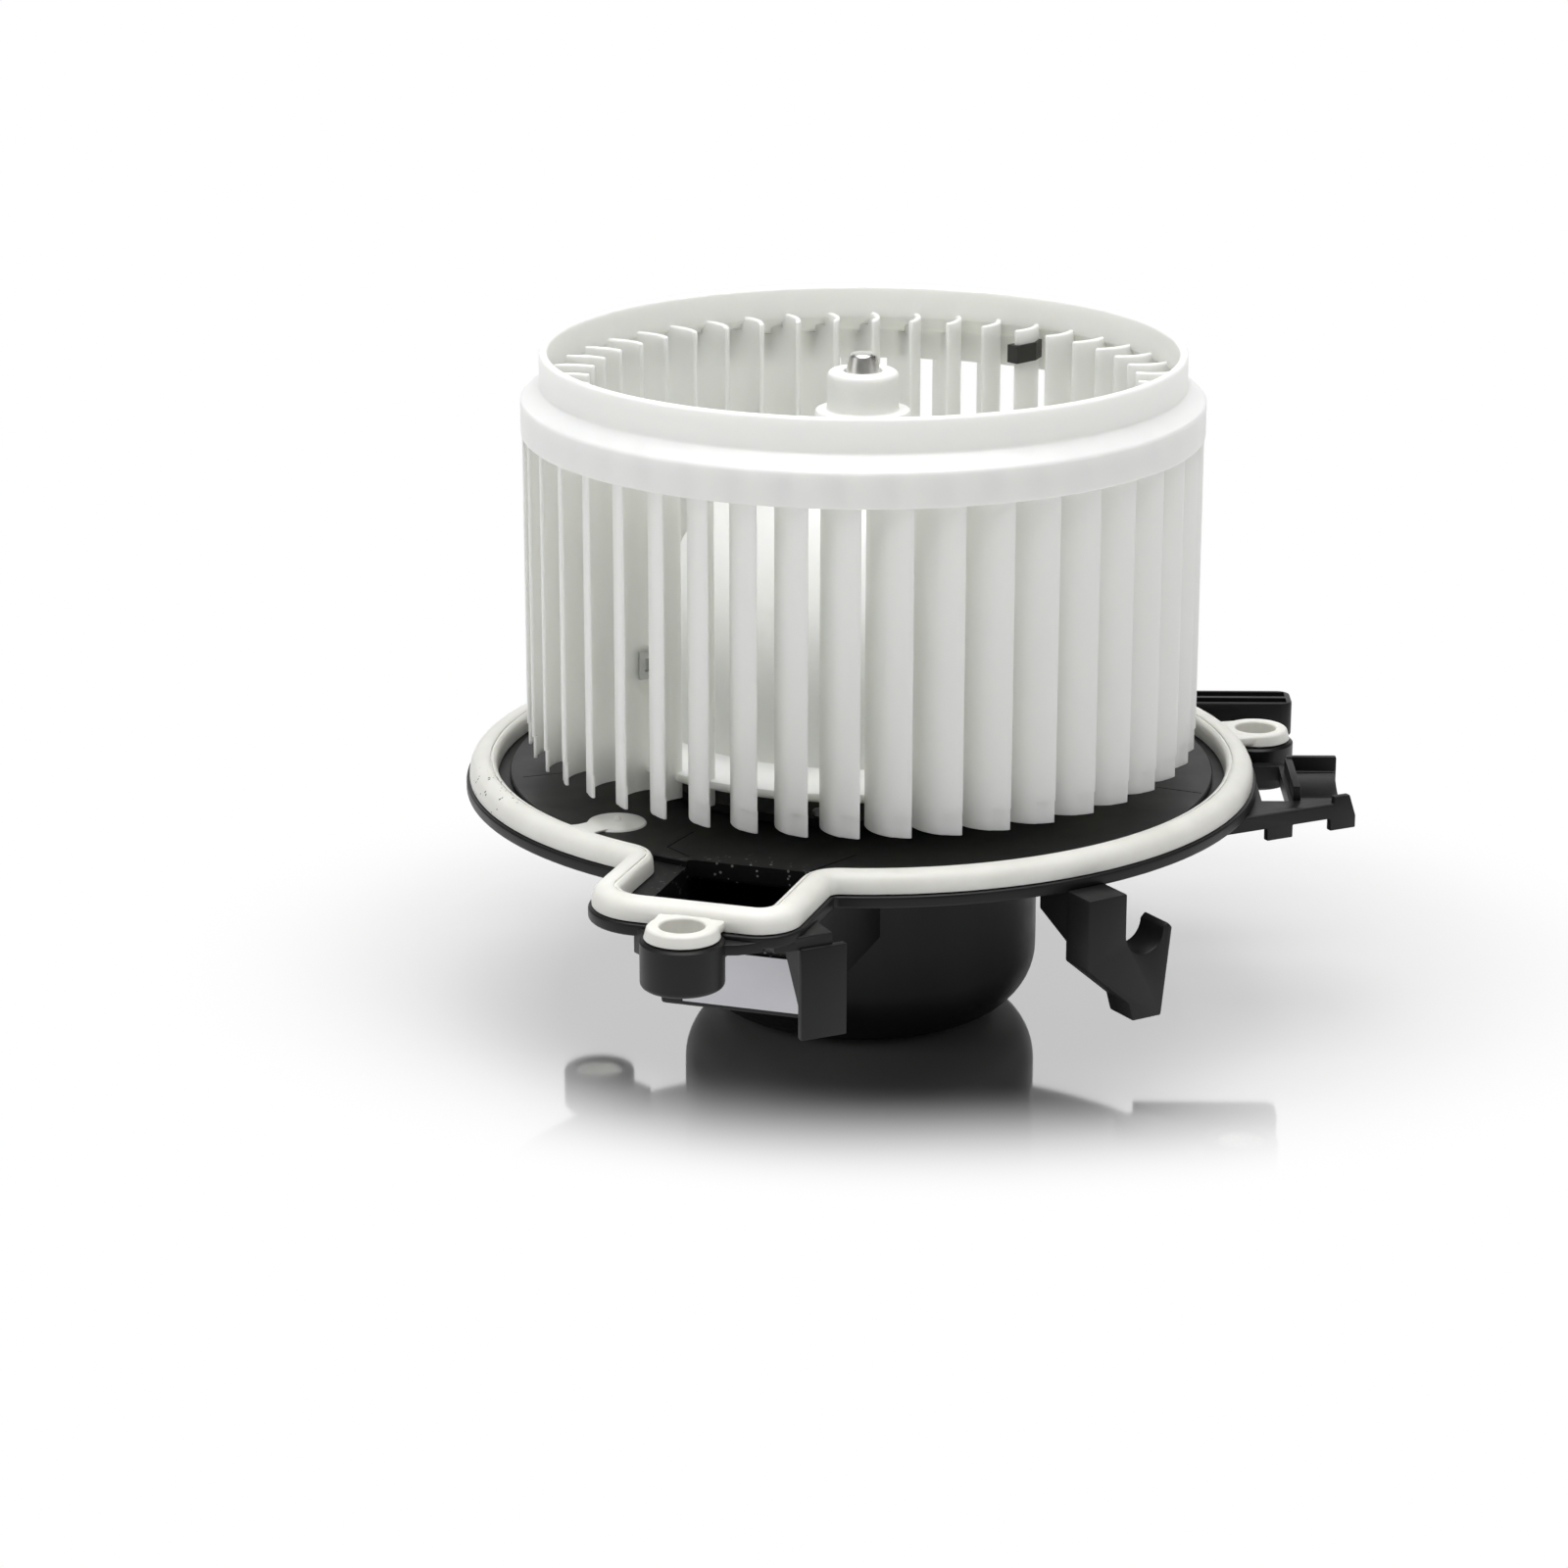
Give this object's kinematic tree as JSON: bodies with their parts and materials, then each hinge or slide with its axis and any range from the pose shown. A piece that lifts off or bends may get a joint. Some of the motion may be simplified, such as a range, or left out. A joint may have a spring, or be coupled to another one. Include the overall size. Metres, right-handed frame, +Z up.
{
  "type": "car cabin blower motor",
  "caption": "Cabin blower: a forward-curved blade wheel on a motor standing in a moulded carrier with a soft seal round its rim, screw bosses, a cooling-air duct and lead clips.",
  "frame": {"origin": "on the shaft's axis, in the plane of the flat underside of the motor's cup", "axes": "+Z up along the shaft towards the wheel's open end, -Y towards the side with the cooling-air pocket, +X towards the lead bracket"},
  "size_m": [0.2114, 0.2252, 0.1609],
  "materials": {
    "black_plastic": "black moulded plastic with a low sheen",
    "soft_white": "white soft moulded seal",
    "label_white": "bare white label",
    "white_plastic": "off-white moulded plastic, slightly translucent",
    "rubber": "black rubber",
    "zinc_steel": "zinc-plated sheet steel",
    "bright_steel": "ground bright steel",
    "dark_steel": "dark coated steel",
    "ferrite": "dark grey sintered ferrite",
    "copper": "enamelled copper",
    "brass": "plain brass",
    "bronze": "oil-soaked sintered bronze",
    "carbon": "dark carbon",
    "card_brown": "brown moulded card"
  },
  "bodies": {
    "housing": {"motor_carrier": "black_plastic", "flange_seal": "soft_white", "label_plate": "label_white", "damper_ring_lower": "rubber", "damper_ring_upper": "rubber", "motor_retainer_ring": "black_plastic", "retainer_screw_1": "zinc_steel", "retainer_screw_2": "zinc_steel", "retainer_screw_3": "zinc_steel", "motor_yoke": "zinc_steel", "motor_end_plate": "zinc_steel", "bearing_lower": "bronze", "bearing_upper": "bronze", "bearing_cap_lower": "zinc_steel", "bearing_cap_upper": "zinc_steel", "magnet_front": "ferrite", "magnet_rear": "ferrite", "magnet_clip_left": "zinc_steel", "magnet_clip_right": "zinc_steel", "brush_card": "card_brown", "brush_holder_left": "brass", "brush_holder_right": "brass", "brush_spring_left": "bright_steel", "brush_spring_right": "bright_steel", "choke_left": "copper", "choke_right": "copper", "capacitor": "card_brown", "terminal_minus": "brass", "terminal_plus": "brass"},
    "rotor": {"motor_shaft": "bright_steel", "commutator": "copper", "armature_core": "dark_steel", "armature_windings": "copper", "blower_wheel": "white_plastic", "balance_clip_dark": "dark_steel", "balance_clip_steel": "zinc_steel"},
    "left_brush": {"brush_left": "carbon"},
    "right_brush": {"brush_right": "carbon"}
  },
  "joints": [
    {"name": "rotor_spin", "type": "hinge", "parent": "housing", "child": "rotor", "pos_m": [0, 0, 0.1], "axis": [0, 0, 1], "continuous": true},
    {"name": "left_brush_slide", "type": "slide", "parent": "housing", "child": "left_brush", "axis": [-1, 0, 0], "range_m": [0, 0.0035], "stiffness_N_per_m": 60, "springref_m": -0.004, "deforming": ["brush_spring_left"]},
    {"name": "right_brush_slide", "type": "slide", "parent": "housing", "child": "right_brush", "axis": [1, 0, 0], "range_m": [0, 0.0035], "stiffness_N_per_m": 60, "springref_m": -0.004, "deforming": ["brush_spring_right"]}
  ]
}
